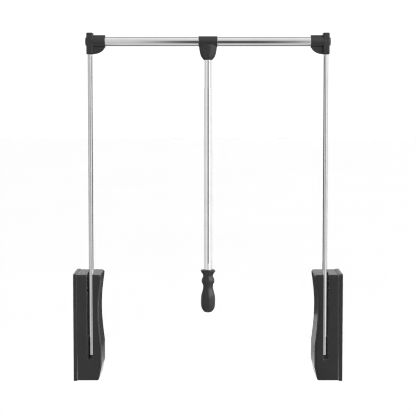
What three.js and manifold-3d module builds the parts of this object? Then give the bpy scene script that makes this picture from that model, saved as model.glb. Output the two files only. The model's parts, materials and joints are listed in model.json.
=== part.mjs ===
// Pull down closet rod: two spring-loaded wall units, two arms, a width-adjustable rail and a pull rod.
// Millimetres, +Z up, front towards -Y. The origin lies midway between the wall units, at their foot.
import * as THREE from "three";
import { mergeVertices } from "three/addons/utils/BufferGeometryUtils.js";
import Module from "manifold-3d";

const wasm = await Module();
wasm.setup();

// Layout of the whole object. Heights are above the foot of the wall plates.
const layout = {
  wallSpan: 657,
  armInset: 40.2,
  armDepth: -10,
  pivotHeight: 68,
  railHeight: 829.5,
};

// Clearances and the overrun that a cutting tool has past a face.
const fit = { gap: 0.3, overrun: 1 };

// Number of sides of a round piece.
const sides = { large: 20, medium: 16, small: 12, wire: 5 };

// Moulded wall plate: a slab with a chamfered lip and a pocket behind the rim.
const plate = {
  height: 263.5,
  depth: 116,
  flange: 7.5,
  lip: 1.5,
  web: 4,
  rim: 8,
  cornerRadius: 5,
  bossRadius: 7,
  fixingRadius: 2.75,
  fixingInset: 14.5,
  fixingHeight: 30,
};

// Pressed steel channel that carries the pivot, the stops and the spring.
const bracket = {
  thickness: 2,
  seat: 8.3,
  reach: 54,
  front: -26,
  back: 36,
  foot: 20,
  headroom: 13.5,
  screwInset: 14,
  screwDepth: -14,
};

// Moulded cover. Reach is its width from the wall plane, and the waist draws it in.
const cover = {
  reach: 68.2,
  wall: 2.5,
  waistDepth: 7,
  waistDrop: 87,
  waistAbove: 80,
  waistBelow: 91,
  waistPower: 1.2,
  taperHeight: 36,
  taperDepth: 8.5,
  edgeRound: 4,
  cornerRound: 5,
  slotWidth: 13.2,
  slotFoot: 53.6,
  notchBehindArm: 13.6,
  hookWidth: 20,
  hookThickness: 2,
  hookReach: 4,
  hookDepth: 25,
};

// Arm, crank and the pins that pass through them.
const arm = { radius: 6, bore: 4.8, tail: 10.7, headroom: 7 };
const footCap = { length: 14, spigot: 6, edge: 1 };
const crank = {
  thickness: 4,
  halfWidth: 8,
  tail: 14,
  lever: 30,
  rivetHeight: 15,
};
const pin = {
  pivotRadius: 3,
  crossRadius: 3,
  springRadius: 2.5,
  rivetRadius: 2,
  headRadius: 5.5,
  headThickness: 2,
  springHeadRadius: 4.5,
  springReach: 14,
  rivetHeadRadius: 3.5,
  rivetHead: 1.4,
  pivotTail: 3,
  clipRadius: 5.5,
  clipThickness: 1.2,
  clipOpening: 4,
  spacerRadius: 6,
};

// Stops: a rubber sleeve on a cross pin, behind the arm and above the crank's tail.
const stop = { sleeve: 6, restDrop: 35, sleeveOverhang: 2, loweredAngle: 95 };

// Tension spring between the crank's pin and the anchor pin.
const spring = {
  wireRadius: 1.6,
  coilRadius: 5.8,
  pitch: 5.6,
  endLength: 13,
  inset: 21,
  anchorDrop: 14,
  anchorBehind: 30,
  stepsPerTurn: 8,
};

// Screws that hold the bracket on the wall plate.
const plateScrew = { radius: 2, headRadius: 4, head: 2.4, bite: 6 };

// Corner connector: upright socket, sleeve for the rail, and a gusset with a rim.
const corner = {
  width: 15.7,
  depth: 30,
  drop: 31.6,
  rise: 21.1,
  roundness: 4,
  bevel: 1.6,
  sleeveRadius: 15.6,
  sleeveLength: 29.5,
  gussetRise: 7.5,
  gussetDrop: 23,
  gussetRim: 2.6,
  gussetRimDepth: 18,
  gussetWeb: 6,
  counterbore: 7.5,
};
const cornerCap = { radius: 10.5, proud: 3, wall: 1.4, edge: 1, spigotWall: 1.4, spigot: 1.2 };
const cornerScrew = { radius: 3, headRadius: 5, head: 2.6, length: 28 };
const endPlug = { length: 17 };

// Rail: two outer tubes that slide on a grooved inner tube.
const rail = {
  radius: 11.5,
  wall: 1.2,
  innerRadius: 10,
  innerWall: 2.5,
  innerHalfLength: 155,
  grooveWidth: 6,
  grooveDepth: 1,
};

// T connector: a thin sleeve on the inner tube over a tapered socket for the pull rod.
const tee = {
  halfLength: 22.9,
  sleeveRadius: 12.8,
  drop: 45,
  shoulderDrop: 9,
  bellyDrop: 22,
  bellyHalfWidth: 20.7,
  waistDrop: 35,
  waistHalfWidth: 17.5,
  halfDepth: 11.3,
  endRadius: 10.6,
  socketDepth: 26.5,
  squareness: 2.1,
};
const teeScrew = { radius: 2, headRadius: 4, head: 2.8, tipRadius: 9.3 };
const rodScrew = { radius: 1.8, headRadius: 3.4, head: 1.6, bite: 3, rise: 12 };

// Pull rod: an upper tube that slides in the lower tube, and a turned grip.
const rod = {
  upperRadius: 9,
  upperWall: 1.2,
  upperFoot: 325,
  lowerRadius: 10.1,
  lowerWall: 0.8,
  lowerFoot: 172,
  bareLength: 68.8,
};
const glide = { collar: 8, plug: 15 };
const grip = { foot: 163.1, length: 106.5, radius: 17.6, boreFit: 0.3, web: 3.6, screwHole: 4.4 };
const gripPlug = { length: 18 };
const gripScrew = { radius: 2, headRadius: 4, head: 2.8, bite: 10 };

// Turned outline of the grip, from its foot up, as shares of its radius and of its length.
const gripOutlineShares = [
  [0.3, 0],
  [0.53, 0.016],
  [0.665, 0.04],
  [0.8, 0.07],
  [0.9, 0.107],
  [0.965, 0.153],
  [0.992, 0.2],
  [0.998, 0.268],
  [0.985, 0.34],
  [0.94, 0.407],
  [0.87, 0.453],
  [0.79, 0.5],
  [0.722, 0.546],
  [0.69, 0.602],
  [0.745, 0.66],
  [0.88, 0.707],
  [0.895, 0.755],
  [0.82, 0.8],
  [0.73, 0.826],
  [0.7, 0.87],
  [0.84, 0.916],
  [0.95, 0.94],
  [1.02, 0.968],
  [1, 0.985],
  [0.74, 1],
];

// Places worked out from the sizes above.
const halfSpan = layout.wallSpan / 2;
const plateThickness = plate.flange + plate.lip;
const coverBack = plateThickness + fit.gap;
const coverFoot = plate.lip;
const coverTop = plate.height - plate.lip;
const coverHalfDepth = plate.depth / 2 - plate.lip;
const innerCheek = bracket.reach - bracket.thickness;
const outerCheek = bracket.seat + bracket.thickness;
const crankInner = layout.armInset - arm.radius - fit.gap;
const crankOuter = crankInner - crank.thickness;
const leverHeight = layout.pivotHeight + crank.lever;
const bracketTop = plate.height - bracket.headroom;
const anchor = { y: layout.armDepth + spring.anchorBehind, z: bracketTop - spring.anchorDrop };
const armFoot = layout.pivotHeight - arm.tail;
const cornerTop = layout.railHeight + corner.rise;
const cornerFoot = layout.railHeight - corner.drop;
const armTop = cornerTop - arm.headroom;
const cornerOuter = layout.armInset - corner.width / 2;
const cornerInner = layout.armInset + corner.width / 2;
const railStart = cornerInner + fit.gap * 4;
const railEnd = halfSpan - tee.halfLength - fit.gap;
const teeFoot = layout.railHeight - tee.drop;
const rodTop = teeFoot + tee.socketDepth - fit.gap;
const lowerTubeTop = teeFoot - rod.bareLength;

// Materials, one for each finish that the object has.
const finishes = {
  black: { color: 0x2b2b2d, roughness: 0.55, metalness: 0 },
  chrome: { color: 0xd6d7d9, roughness: 0.12, metalness: 1 },
  steel: { color: 0x9a9ea3, roughness: 0.4, metalness: 1 },
  nylon: { color: 0xe6e4dc, roughness: 0.6, metalness: 0 },
  rubber: { color: 0x1c1c1c, roughness: 0.9, metalness: 0 },
};

/** A named mesh with its own material. */
function piece(name, geometry, finish) {
  const mesh = new THREE.Mesh(geometry, new THREE.MeshStandardMaterial(finishes[finish]));
  mesh.name = name;
  return mesh;
}

/** The closed solid of a geometry, with its shared vertices merged. */
function solidOf(geometry) {
  const bare = geometry.clone();
  bare.deleteAttribute("normal");
  bare.deleteAttribute("uv");
  const merged = mergeVertices(bare);
  return new wasm.Manifold(
    new wasm.Mesh({
      numProp: 3,
      vertProperties: new Float32Array(merged.attributes.position.array),
      triVerts: new Uint32Array(merged.index.array),
    }),
  );
}

/** The geometry of a closed solid. */
function geometryOf(solid) {
  const mesh = solid.getMesh();
  const geometry = new THREE.BufferGeometry();
  geometry.setAttribute("position", new THREE.BufferAttribute(mesh.vertProperties, 3));
  geometry.setIndex(new THREE.BufferAttribute(mesh.triVerts, 1));
  return geometry;
}

/** One geometry with others joined to it. */
function join(first, ...others) {
  return geometryOf(others.reduce((body, other) => body.add(solidOf(other)), solidOf(first)));
}

/** One geometry with tools cut away from it. */
function cut(first, ...tools) {
  return geometryOf(tools.reduce((body, tool) => body.subtract(solidOf(tool)), solidOf(first)));
}

/** A box between two corners. */
function block(from, to) {
  const size = to.map((value, i) => value - from[i]);
  const middle = to.map((value, i) => (value + from[i]) / 2);
  return new THREE.BoxGeometry(...size).translate(...middle);
}

/** A turned body about the line through (a, b) along an axis; the profile is [radius, place] points. */
function turned(profile, axis, a, b, count) {
  const points = profile.map(([radius, place]) => new THREE.Vector2(radius, place));
  const body = new THREE.LatheGeometry(points, count);
  if (axis === "x") return body.rotateZ(-Math.PI / 2).translate(0, a, b);
  if (axis === "y") return body.translate(a, 0, b);
  return body.rotateX(Math.PI / 2).translate(a, b, 0);
}

/** A round bar between two places on an axis. */
function bar(radius, from, to, axis, a, b, count) {
  return turned(
    [
      [0, from],
      [radius, from],
      [radius, to],
      [0, to],
    ],
    axis,
    a,
    b,
    count,
  );
}

/** A tube between two places on an axis, open at both ends. */
function tube(radius, bore, from, to, axis, a, b, count) {
  return turned(
    [
      [bore, from],
      [radius, from],
      [radius, to],
      [bore, to],
      [bore, from],
    ],
    axis,
    a,
    b,
    count,
  );
}

/** A skin over outlines of equal length, stacked at rising places; set puts a point of one in space. */
function loft(levels, set) {
  const positions = levels.flatMap(({ at, outline }) => outline.flatMap((p) => set(p, at)));
  const count = levels[0].outline.length;
  const last = (levels.length - 1) * count;
  const faces = THREE.ShapeUtils.triangulateShape(levels[0].outline, []);
  const index = faces.flatMap(([a, b, c]) => [a, c, b]);
  THREE.ShapeUtils.triangulateShape(levels[levels.length - 1].outline, []).forEach((face) => {
    index.push(...face.map((i) => last + i));
  });
  for (let row = 0; row < last; row += count) {
    for (let i = 0; i < count; i += 1) {
      const j = (i + 1) % count;
      index.push(row + i, row + j, row + count + j, row + i, row + count + j, row + count + i);
    }
  }
  const geometry = new THREE.BufferGeometry();
  geometry.setAttribute("position", new THREE.Float32BufferAttribute(positions, 3));
  geometry.setIndex(index);
  return geometry;
}

/** Points of an arc about a centre, from one angle to another. */
function arc(x, y, radiusX, radiusY, start, end, steps) {
  return Array.from({ length: steps + 1 }, (_, i) => {
    const angle = start + ((end - start) * i) / steps;
    return new THREE.Vector2(x + radiusX * Math.cos(angle), y + radiusY * Math.sin(angle));
  });
}

/** A rectangle with round corners between two corners, anticlockwise. */
function roundedRectangle(x0, y0, x1, y1, radius, steps) {
  const quarter = Math.PI / 2;
  return [
    ...arc(x1 - radius, y1 - radius, radius, radius, 0, quarter, steps),
    ...arc(x0 + radius, y1 - radius, radius, radius, quarter, quarter * 2, steps),
    ...arc(x0 + radius, y0 + radius, radius, radius, quarter * 2, quarter * 3, steps),
    ...arc(x1 - radius, y0 + radius, radius, radius, quarter * 3, quarter * 4, steps),
  ];
}

// Ways to stand an outline up: in the side view, in the front view, and lying flat.
const sideView = (p, at) => [at, p.x, p.y];
const frontView = (p, at) => [p.x, -at, p.y];
const planView = (p, at) => [p.x, p.y, at];

/** Extrusion of one outline between two places. */
function slab(outline, from, to, set) {
  const levels = [
    { at: from, outline },
    { at: to, outline },
  ];
  return loft(levels, set);
}

// The wall unit. Its own frame has X from the wall plane inwards, so the right one is its mirror image.

/** Places of the wood screws that hold the plate to the wardrobe: the four corners of the pocket. */
function fixingPlaces() {
  const y = plate.depth / 2 - plate.fixingInset;
  const heights = [plate.fixingHeight, plate.height - plate.fixingHeight];
  return heights.flatMap((z) => [
    [-y, z],
    [y, z],
  ]);
}

/** Heights of the two bosses under the bracket. */
const bossHeights = {
  lower: bracket.foot + bracket.screwInset,
  upper: bracketTop - bracket.screwInset,
};

function wallPlate() {
  const outline = (inset) =>
    roundedRectangle(
      -plate.depth / 2 + inset,
      inset,
      plate.depth / 2 - inset,
      plate.height - inset,
      plate.cornerRadius - inset / 2,
      3,
    );
  const slabLevels = [
    { at: 0, outline: outline(0) },
    { at: plate.flange, outline: outline(0) },
    { at: plateThickness, outline: outline(plate.lip) },
  ];
  const pocket = slab(outline(plate.rim), plate.web, plateThickness + fit.overrun, sideView);
  const hollow = cut(loft(slabLevels, sideView), pocket);
  const bossEnd = bracket.seat - fit.gap;
  const bosses = Object.values(bossHeights).map((z) =>
    bar(plate.bossRadius, plate.web / 2, bossEnd, "x", bracket.screwDepth, z, sides.medium),
  );
  const screwHoles = Object.values(bossHeights).map((z) =>
    bar(
      plateScrew.radius + fit.gap,
      plate.web / 2,
      bossEnd + fit.overrun,
      "x",
      bracket.screwDepth,
      z,
      sides.small,
    ),
  );
  const fixingHoles = fixingPlaces().map(([y, z]) =>
    bar(plate.fixingRadius, -fit.overrun, plate.web + fit.overrun, "x", y, z, sides.small),
  );
  return cut(join(hollow, ...bosses), ...screwHoles, ...fixingHoles);
}

/** Centres of the cross pins through both cheeks, as [y, z]. */
const loweredStop = loweredStopPlace();
const crossPins = {
  spring_anchor_pin: [anchor.y, anchor.z],
  rest_stop_pin: [layout.armDepth + arm.radius + fit.gap + stop.sleeve, bracketTop - stop.restDrop],
  lowered_stop_pin: loweredStop,
};

/** The lowered stop clears the upright crank and meets the crank's tail at the lowered angle. */
function loweredStopPlace() {
  const angle = THREE.MathUtils.degToRad(stop.loweredAngle);
  const contact = crank.halfWidth + stop.sleeve + fit.gap;
  const behind = contact + fit.gap;
  const above = (contact - behind * Math.cos(angle)) / Math.sin(angle);
  return [layout.armDepth + behind, layout.pivotHeight + above];
}

function bracketChannel() {
  const { thickness, seat, reach, front, back } = bracket;
  const outline = [
    [seat, front],
    [outerCheek, front],
    [outerCheek, back - thickness],
    [innerCheek, back - thickness],
    [innerCheek, front],
    [reach, front],
    [reach, back],
    [seat, back],
  ].map(([x, y]) => new THREE.Vector2(x, y));
  const channel = slab(outline, bracket.foot, bracketTop, planView);
  const across = (radius, [y, z]) =>
    bar(radius + fit.gap, seat - fit.overrun, reach + fit.overrun, "x", y, z, sides.small);
  const pinHoles = Object.values(crossPins).map((place) => across(pin.crossRadius, place));
  const pivotHole = across(pin.pivotRadius, [layout.armDepth, layout.pivotHeight]);
  const screwHoles = Object.values(bossHeights).map((z) =>
    bar(
      plateScrew.radius + fit.gap,
      seat - fit.overrun,
      outerCheek + fit.overrun,
      "x",
      bracket.screwDepth,
      z,
      sides.small,
    ),
  );
  return cut(channel, pivotHole, ...pinHoles, ...screwHoles);
}

/** Width of the cover from the wall plane at a height: full, drawn in at the waist, tapered at the foot. */
function coverReach(z) {
  const waistHeight = coverTop - cover.waistDrop;
  const half = z > waistHeight ? cover.waistAbove : cover.waistBelow;
  const t = Math.min(Math.abs(z - waistHeight) / half, 1);
  const waist = cover.waistDepth * Math.pow(1 - t * t, cover.waistPower);
  const rise = (z - coverFoot) / (cover.taperHeight - coverFoot);
  const taper = cover.taperDepth * Math.max(1 - rise, 0);
  return cover.reach - waist - taper;
}

/** Front view outline of the cover, drawn in by an inset everywhere but at its back. */
function coverOutline(back, inset) {
  const foot = coverFoot + inset;
  const top = coverTop - inset;
  const round = Math.max(cover.cornerRound - inset, cover.wall / 2);
  const low = foot + round;
  const high = top - round;
  const steps = 16;
  const flank = Array.from({ length: steps - 1 }, (_, i) => {
    const z = low + ((high - low) * (i + 1)) / steps;
    return new THREE.Vector2(coverReach(z) - inset, z);
  });
  const quarter = Math.PI / 2;
  return [
    new THREE.Vector2(back, foot),
    ...arc(coverReach(low) - inset - round, low, round, round, -quarter, 0, 3),
    ...flank,
    ...arc(coverReach(high) - inset - round, high, round, round, 0, quarter, 3),
    new THREE.Vector2(back, top),
  ];
}

/** A lug that drops from the cover behind the rim of the wall plate, at the top or the foot. */
function coverHook(edge, inwards) {
  const start = plate.rim + fit.gap;
  const end = start + cover.hookThickness;
  const height = (inset) => edge + inwards * inset;
  const span = (a, b) => [Math.min(a, b), Math.max(a, b)];
  const [legLow, legHigh] = span(height(start), height(end));
  const [rootLow, rootHigh] = span(height(plate.lip + cover.wall / 2), height(end));
  const y0 = cover.hookDepth - cover.hookWidth / 2;
  const y1 = cover.hookDepth + cover.hookWidth / 2;
  const rootEnd = coverBack + cover.hookReach;
  const leg = block([coverBack - cover.hookReach, y0, legLow], [rootEnd, y1, legHigh]);
  return join(leg, block([coverBack, y0, rootLow], [rootEnd, y1, rootHigh]));
}

function coverShell() {
  const half = coverHalfDepth;
  const steps = 3;
  const edge = Array.from({ length: steps + 1 }, (_, i) => {
    const angle = (Math.PI / 2) * (i / steps);
    return { in: cover.edgeRound * (1 - Math.sin(angle)), along: cover.edgeRound * (1 - Math.cos(angle)) };
  });
  const front = edge.map((e) => ({ at: half - e.along, outline: coverOutline(coverBack, e.in) }));
  const rear = edge.map((e) => ({ at: e.along - half, outline: coverOutline(coverBack, e.in) }));
  const body = loft([...rear, ...front.reverse()], frontView);
  const inner = half - cover.wall;
  const hollowOutline = coverOutline(coverBack - fit.overrun, cover.wall);
  const hollow = slab(hollowOutline, -inner, inner, frontView);
  const slotStart = layout.armInset - cover.slotWidth / 2;
  const slotEnd = layout.armInset + cover.slotWidth / 2;
  const notchCentre = layout.armDepth + cover.notchBehindArm - cover.slotWidth / 2;
  const above = coverTop + fit.overrun;
  const slot = block([slotStart, -half - fit.overrun, cover.slotFoot], [slotEnd, notchCentre, above]);
  const notch = bar(
    cover.slotWidth / 2,
    coverTop - cover.wall * 2,
    above,
    "z",
    layout.armInset,
    notchCentre,
    sides.medium,
  );
  const shell = cut(body, hollow);
  return cut(join(shell, coverHook(0, 1), coverHook(plate.height, -1)), slot, notch);
}

/** A headed pin along X: the head lies on the inner cheek, and the shank runs out to the given end. */
function headedPin(radius, end, y, z) {
  const headStart = bracket.reach + fit.gap;
  const headEnd = headStart + pin.headThickness;
  const profile = [
    [0, end],
    [radius, end],
    [radius, headStart],
    [pin.headRadius, headStart],
    [pin.headRadius, headEnd],
    [0, headEnd],
  ];
  return turned(profile, "x", y, z, sides.small);
}

/** An open ring that snaps on the end of the pivot pin. */
function pivotClip() {
  const start = bracket.seat - fit.gap - pin.clipThickness;
  const bore = pin.pivotRadius + fit.gap;
  const y = layout.armDepth;
  const z = layout.pivotHeight;
  const ring = tube(pin.clipRadius, bore, start, start + pin.clipThickness, "x", y, z, sides.medium);
  const far = start + pin.clipThickness + fit.overrun;
  const low = z - pin.clipRadius - fit.overrun;
  const mouth = block([start - fit.overrun, y - pin.clipOpening / 2, low], [far, y + pin.clipOpening / 2, z]);
  return cut(ring, mouth);
}

/** A sleeve on the pivot pin between two places. */
function pivotSpacer(from, to) {
  const bore = pin.pivotRadius + fit.gap;
  return tube(pin.spacerRadius, bore, from, to, "x", layout.armDepth, layout.pivotHeight, sides.medium);
}

/** A rubber sleeve on a cross pin. */
function bumper([y, z], from, to) {
  return tube(stop.sleeve, pin.crossRadius + fit.gap, from, to, "x", y, z, sides.medium);
}

function plateScrewBody(z) {
  const { radius, headRadius, head, bite } = plateScrew;
  const start = outerCheek + fit.gap;
  const profile = [
    [0, bracket.seat - bite],
    [radius, bracket.seat - bite],
    [radius, start],
    [headRadius, start],
    [headRadius, start + head],
    [0, start + head],
  ];
  return turned(profile, "x", bracket.screwDepth, z, sides.small);
}

function crankPlate() {
  const y = layout.armDepth;
  const top = leverHeight;
  const foot = layout.pivotHeight - crank.tail;
  const outline = [
    ...arc(y, top, crank.halfWidth, crank.halfWidth, 0, Math.PI, 8),
    ...arc(y, foot, crank.halfWidth, crank.halfWidth, Math.PI, Math.PI * 2, 8),
  ];
  const start = crankOuter - fit.overrun;
  const end = crankInner + fit.overrun;
  const hole = (radius, z) => bar(radius + fit.gap, start, end, "x", y, z, sides.small);
  return cut(
    slab(outline, crankOuter, crankInner, sideView),
    hole(pin.pivotRadius, layout.pivotHeight),
    hole(pin.rivetRadius, layout.pivotHeight + crank.rivetHeight),
    hole(pin.springRadius, leverHeight),
  );
}

/** A rivet through the crank and the arm, with a head on each side. */
function crankRivet() {
  const outer = crankOuter - fit.gap;
  const inner = layout.armInset + arm.radius + fit.gap;
  const profile = [
    [0, outer - pin.rivetHead],
    [pin.rivetHeadRadius, outer - pin.rivetHead],
    [pin.rivetHeadRadius, outer],
    [pin.rivetRadius, outer],
    [pin.rivetRadius, inner],
    [pin.rivetHeadRadius, inner],
    [pin.rivetHeadRadius, inner + pin.rivetHead],
    [0, inner + pin.rivetHead],
  ];
  return turned(profile, "x", layout.armDepth, layout.pivotHeight + crank.rivetHeight, sides.small);
}

/** The crank's pin for the spring, with a head that keeps the hook on. */
function springPin() {
  const start = spring.inset - pin.springReach / 2;
  const profile = [
    [0, start],
    [pin.springHeadRadius, start],
    [pin.springHeadRadius, start + pin.headThickness],
    [pin.springRadius, start + pin.headThickness],
    [pin.springRadius, crankInner],
    [0, crankInner],
  ];
  return turned(profile, "x", layout.armDepth, leverHeight, sides.small);
}

/** Centre line of the spring: a hook round each pin and a coil between them. */
function springRoute() {
  const low = new THREE.Vector3(spring.inset, layout.armDepth, leverHeight);
  const high = new THREE.Vector3(spring.inset, anchor.y, anchor.z);
  const along = high.clone().sub(low).normalize();
  const inwards = new THREE.Vector3(1, 0, 0);
  const behind = new THREE.Vector3().crossVectors(inwards, along).negate();
  const length = high.distanceTo(low);
  const place = (s, n, x) =>
    low.clone().addScaledVector(along, s).addScaledVector(behind, n).addScaledVector(inwards, x);
  const lowHook = pin.springRadius + fit.gap + spring.wireRadius;
  const highHook = pin.crossRadius + fit.gap + spring.wireRadius;
  const hookSteps = 8;
  const hook = (s, radius, side) =>
    Array.from({ length: hookSteps + 1 }, (_, i) => {
      const angle = (Math.PI * 1.25 * i) / hookSteps;
      return place(s + side * radius * Math.sin(angle), radius * Math.cos(angle), 0);
    });
  const turns = Math.round((length - spring.endLength * 2) / spring.pitch);
  const count = turns * spring.stepsPerTurn;
  const coil = Array.from({ length: count + 1 }, (_, i) => {
    const angle = (Math.PI * 2 * i) / spring.stepsPerTurn;
    const s = spring.endLength + ((length - spring.endLength * 2) * i) / count;
    return place(s, spring.coilRadius * Math.cos(angle), spring.coilRadius * Math.sin(angle));
  });
  return [...hook(0, lowHook, -1).reverse(), ...coil, ...hook(length, highHook, 1)];
}

function springCoil() {
  const path = new THREE.CatmullRomCurve3(springRoute());
  const step = (Math.PI * 2 * spring.coilRadius) / spring.stepsPerTurn;
  const section = new THREE.Shape(arc(0, 0, spring.wireRadius, spring.wireRadius, 0, Math.PI * 1.6, 4));
  return new THREE.ExtrudeGeometry(section, {
    steps: Math.round(path.getLength() / step),
    curveSegments: sides.wire,
    extrudePath: path,
  });
}

function armTube() {
  const { armInset, armDepth, pivotHeight, railHeight } = layout;
  const body = tube(arm.radius, arm.bore, armFoot, armTop, "z", armInset, armDepth, sides.large);
  const hole = (radius, z) => {
    const start = armInset - arm.radius - fit.overrun;
    const end = armInset + arm.radius + fit.overrun;
    return bar(radius + fit.gap, start, end, "x", armDepth, z, sides.small);
  };
  return cut(
    body,
    hole(pin.pivotRadius, pivotHeight),
    hole(pin.rivetRadius, pivotHeight + crank.rivetHeight),
    hole(cornerScrew.radius, railHeight),
  );
}

/** Moulded cap that closes the foot of the arm, with a spigot in its bore. */
function armFootCap() {
  const seat = armFoot - fit.gap;
  const foot = seat - footCap.length;
  const spigotRadius = arm.bore - fit.gap;
  const profile = [
    [0, foot],
    [arm.radius - footCap.edge, foot],
    [arm.radius, foot + footCap.edge],
    [arm.radius, seat],
    [spigotRadius, seat],
    [spigotRadius, seat + footCap.spigot],
    [0, seat + footCap.spigot],
  ];
  return turned(profile, "z", layout.armInset, layout.armDepth, sides.large);
}

/** Front view outline of a gusset: a quarter of an ellipse under the rail's sleeve. */
function gussetOutline(inset) {
  const start = layout.armInset;
  const level = layout.railHeight - corner.gussetRise;
  const across = corner.sleeveLength - inset;
  const drop = corner.gussetDrop - inset;
  const quarter = Math.PI / 2;
  return [
    new THREE.Vector2(start, layout.railHeight),
    new THREE.Vector2(start, level - drop),
    ...arc(cornerInner, level, across, drop, -quarter, 0, 8),
    new THREE.Vector2(cornerInner + across, layout.railHeight),
  ];
}

function cornerConnector() {
  const { armInset, armDepth, railHeight } = layout;
  const half = corner.depth / 2;
  const outline = (inset) =>
    roundedRectangle(
      cornerOuter + inset,
      armDepth - half + inset,
      cornerInner - inset,
      armDepth + half - inset,
      corner.roundness - inset / 2,
      3,
    );
  const socket = loft(
    [
      { at: cornerFoot, outline: outline(corner.bevel / 2) },
      { at: cornerFoot + corner.bevel / 2, outline: outline(0) },
      { at: cornerTop - corner.bevel, outline: outline(0) },
      { at: cornerTop, outline: outline(corner.bevel) },
    ],
    planView,
  );
  const sleeveEnd = cornerInner + corner.sleeveLength;
  const sleeveProfile = [
    [0, armInset],
    [corner.sleeveRadius, armInset],
    [corner.sleeveRadius, sleeveEnd - corner.bevel / 2],
    [corner.sleeveRadius - corner.bevel / 2, sleeveEnd],
    [0, sleeveEnd],
  ];
  const sleeve = turned(sleeveProfile, "x", armDepth, railHeight, sides.large);
  const rim = corner.gussetRimDepth / 2;
  const web = corner.gussetWeb / 2;
  const band = cut(
    slab(gussetOutline(0), -armDepth - rim, -armDepth + rim, frontView),
    slab(gussetOutline(corner.gussetRim), -armDepth - rim * 2, -armDepth + rim * 2, frontView),
  );
  const panel = slab(gussetOutline(corner.gussetRim / 2), -armDepth - web, -armDepth + web, frontView);
  const body = join(socket, sleeve, band, panel);
  const armBore = bar(
    arm.radius + fit.gap,
    cornerFoot - fit.overrun,
    armTop + fit.gap,
    "z",
    armInset,
    armDepth,
    sides.large,
  );
  const bore = (radius, from, to, count) => bar(radius, from, to, "x", armDepth, railHeight, count);
  return cut(
    body,
    armBore,
    bore(rail.radius + fit.gap, railStart - fit.gap, sleeveEnd + fit.overrun, sides.large),
    bore(cornerScrew.radius + fit.gap, cornerOuter, railStart, sides.small),
    bore(corner.counterbore, cornerOuter - fit.overrun, armInset - arm.radius, sides.medium),
  );
}

/** Round cap over the head of the corner screw. */
function cornerCapBody() {
  const { radius, proud, wall, edge, spigotWall, spigot } = cornerCap;
  const face = cornerOuter - proud;
  const seat = cornerOuter - fit.gap;
  const spigotRadius = corner.counterbore - fit.gap;
  const profile = [
    [0, face],
    [radius - edge, face],
    [radius, face + edge],
    [radius, seat],
    [spigotRadius, seat],
    [spigotRadius, seat + spigot],
    [spigotRadius - spigotWall, seat + spigot],
    [spigotRadius - spigotWall, face + wall],
    [0, face + wall],
  ];
  return turned(profile, "x", layout.armDepth, layout.railHeight, sides.large);
}

/** Screw through the arm into the plug at the end of the rail. */
function cornerScrewBody() {
  const { radius, headRadius, head, length } = cornerScrew;
  const seat = layout.armInset - arm.radius - fit.gap;
  const profile = [
    [0, seat - head],
    [headRadius, seat - head],
    [headRadius, seat],
    [radius, seat],
    [radius, seat + length],
    [0, seat + length],
  ];
  return turned(profile, "x", layout.armDepth, layout.railHeight, sides.small);
}

/** A tube or ring on the rail's axis between two places. */
function onRail(radius, bore, from, to, count) {
  return tube(radius, bore, from, to, "x", layout.armDepth, layout.railHeight, count);
}

/** Every piece of one side, in the frame of its wall unit. */
function side(name) {
  const group = new THREE.Group();
  const add = (part, geometry, finish) => group.add(piece(`${name}_${part}`, geometry, finish));
  const { armInset, armDepth, pivotHeight } = layout;
  add("wall_plate", wallPlate(), "black");
  add("bracket", bracketChannel(), "steel");
  add("cover", coverShell(), "black");
  add("pivot_pin", headedPin(pin.pivotRadius, bracket.seat - pin.pivotTail, armDepth, pivotHeight), "steel");
  add("pivot_clip", pivotClip(), "steel");
  add("pivot_spacer_outer", pivotSpacer(outerCheek + fit.gap, crankOuter - fit.gap), "nylon");
  const armInner = armInset + arm.radius;
  add("pivot_spacer_inner", pivotSpacer(armInner + fit.gap, innerCheek - fit.gap), "nylon");
  Object.entries(crossPins).forEach(([part, [y, z]]) => {
    add(part, headedPin(pin.crossRadius, bracket.seat, y, z), "steel");
  });
  const restStart = armInset - arm.radius - stop.sleeveOverhang;
  const restEnd = armInner + stop.sleeveOverhang;
  add("rest_bumper", bumper(crossPins.rest_stop_pin, restStart, restEnd), "rubber");
  const loweredStart = crankOuter - stop.sleeveOverhang;
  const loweredEnd = crankInner + stop.sleeveOverhang;
  add("lowered_bumper", bumper(loweredStop, loweredStart, loweredEnd), "rubber");
  Object.entries(bossHeights).forEach(([level, z]) => {
    add(`bracket_screw_${level}`, plateScrewBody(z), "steel");
  });
  add("spring", springCoil(), "steel");
  add("spring_pin", springPin(), "steel");
  add("crank_plate", crankPlate(), "steel");
  add("crank_rivet", crankRivet(), "steel");
  add("arm_tube", armTube(), "chrome");
  add("arm_foot_cap", armFootCap(), "black");
  add("corner_connector", cornerConnector(), "black");
  add("corner_cap", cornerCapBody(), "black");
  add("corner_screw", cornerScrewBody(), "steel");
  const railBore = rail.radius - rail.wall;
  const plugBore = cornerScrew.radius + fit.gap;
  const plugEnd = railStart + endPlug.length;
  add("rail_end_plug", onRail(railBore - fit.gap, plugBore, railStart, plugEnd, sides.large), "nylon");
  add("rail_tube", onRail(rail.radius, railBore, railStart, railEnd, sides.large), "chrome");
  return group;
}

// The middle of the rail and the pull rod.

/** Inner tube of the rail, with a groove in which the T connector turns. */
function railInnerTube() {
  const { innerRadius, innerWall, innerHalfLength, grooveWidth, grooveDepth } = rail;
  const bore = innerRadius - innerWall;
  const profile = [
    [bore, -innerHalfLength],
    [innerRadius, -innerHalfLength],
    [innerRadius, -grooveWidth / 2],
    [innerRadius - grooveDepth, -grooveWidth / 2],
    [innerRadius - grooveDepth, grooveWidth / 2],
    [innerRadius, grooveWidth / 2],
    [innerRadius, innerHalfLength],
    [bore, innerHalfLength],
    [bore, -innerHalfLength],
  ];
  return turned(profile, "x", layout.armDepth, layout.railHeight, sides.large);
}

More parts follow.
